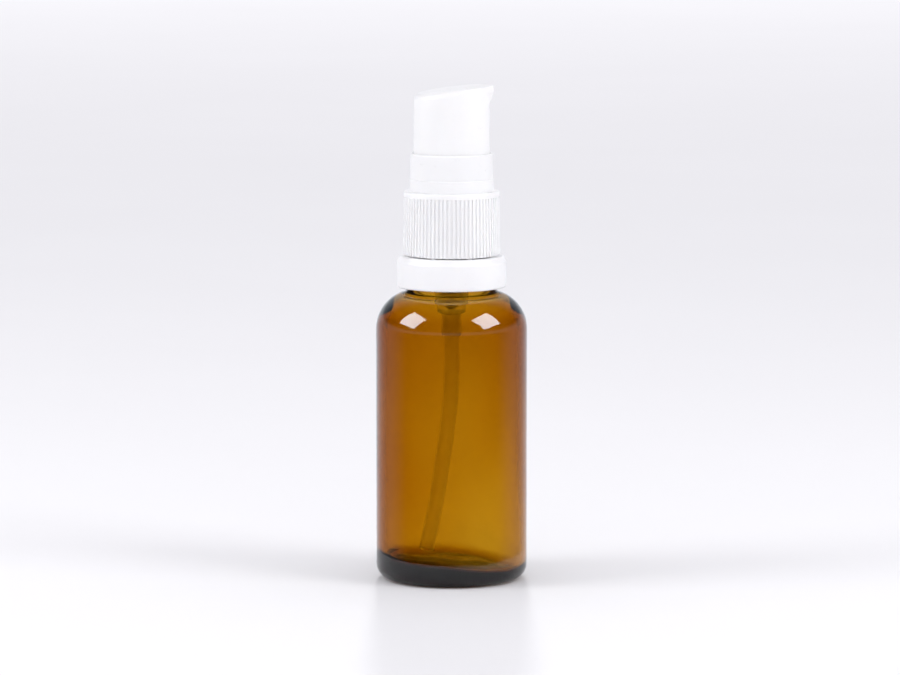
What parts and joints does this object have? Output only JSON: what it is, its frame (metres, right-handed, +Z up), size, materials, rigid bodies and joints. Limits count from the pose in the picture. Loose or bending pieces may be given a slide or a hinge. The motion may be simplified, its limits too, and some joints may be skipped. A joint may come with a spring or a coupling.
{
  "type": "pump oil bottle",
  "caption": "Small amber glass bottle with a white treatment pump: round beaked head, plain collar, finely ribbed screw cap, tamper ring and curved dip tube.",
  "frame": {"origin": "middle of the base, on the surface that the bottle stands on", "axes": "+Z up along the bottle's axis, +X towards the head's outlet"},
  "size_m": [0.033, 0.033, 0.1083],
  "materials": {
    "amber_glass": "gloss",
    "white_plastic": "satin",
    "natural_plastic": "satin",
    "gasket_rubber": "matte",
    "spring_steel": "satin",
    "ball_steel": "polished"
  },
  "bodies": {
    "bottle": {"bottle": "amber_glass", "tamper_ring": "white_plastic"},
    "pump": {"pump_housing": "natural_plastic", "turret": "natural_plastic", "neck_gasket": "gasket_rubber", "stem_seal": "gasket_rubber", "ball_cage": "natural_plastic", "return_spring": "spring_steel", "dip_tube": "natural_plastic"},
    "cap": {"closure": "white_plastic", "collar": "white_plastic"},
    "plunger": {"stem": "natural_plastic", "poppet": "natural_plastic"},
    "piston": {"piston": "natural_plastic"},
    "ball": {"check_ball": "ball_steel"},
    "head": {"actuator": "white_plastic", "nozzle_insert": "natural_plastic"}
  },
  "joints": [
    {"name": "closure_lift", "type": "slide", "parent": "bottle", "child": "pump", "axis": [0, 0, 1], "range_m": [0, 0.0045]},
    {"name": "closure_turn", "type": "hinge", "parent": "pump", "child": "cap", "pos_m": [0, 0, 0.08], "axis": [0, 0, 1], "range_deg": [0, 540]},
    {"name": "head_press", "type": "slide", "parent": "pump", "child": "plunger", "axis": [0, 0, -1], "range_m": [0, 0.0043], "stiffness_N_per_m": 800, "springref_m": -0.003, "deforming": ["return_spring"]},
    {"name": "piston_slip", "type": "slide", "parent": "plunger", "child": "piston", "axis": [0, 0, 1], "range_m": [0, 0.0006]},
    {"name": "ball_lift", "type": "slide", "parent": "pump", "child": "ball", "axis": [0, 0, 1], "range_m": [0, 0.0008]},
    {"name": "head_turn", "type": "hinge", "parent": "plunger", "child": "head", "pos_m": [0, 0, 0.095], "axis": [0, 0, 1], "continuous": true}
  ],
  "couplings": [
    {"joint": "closure_lift", "follows": "closure_turn", "m_per_rad": 0.00047746}
  ]
}
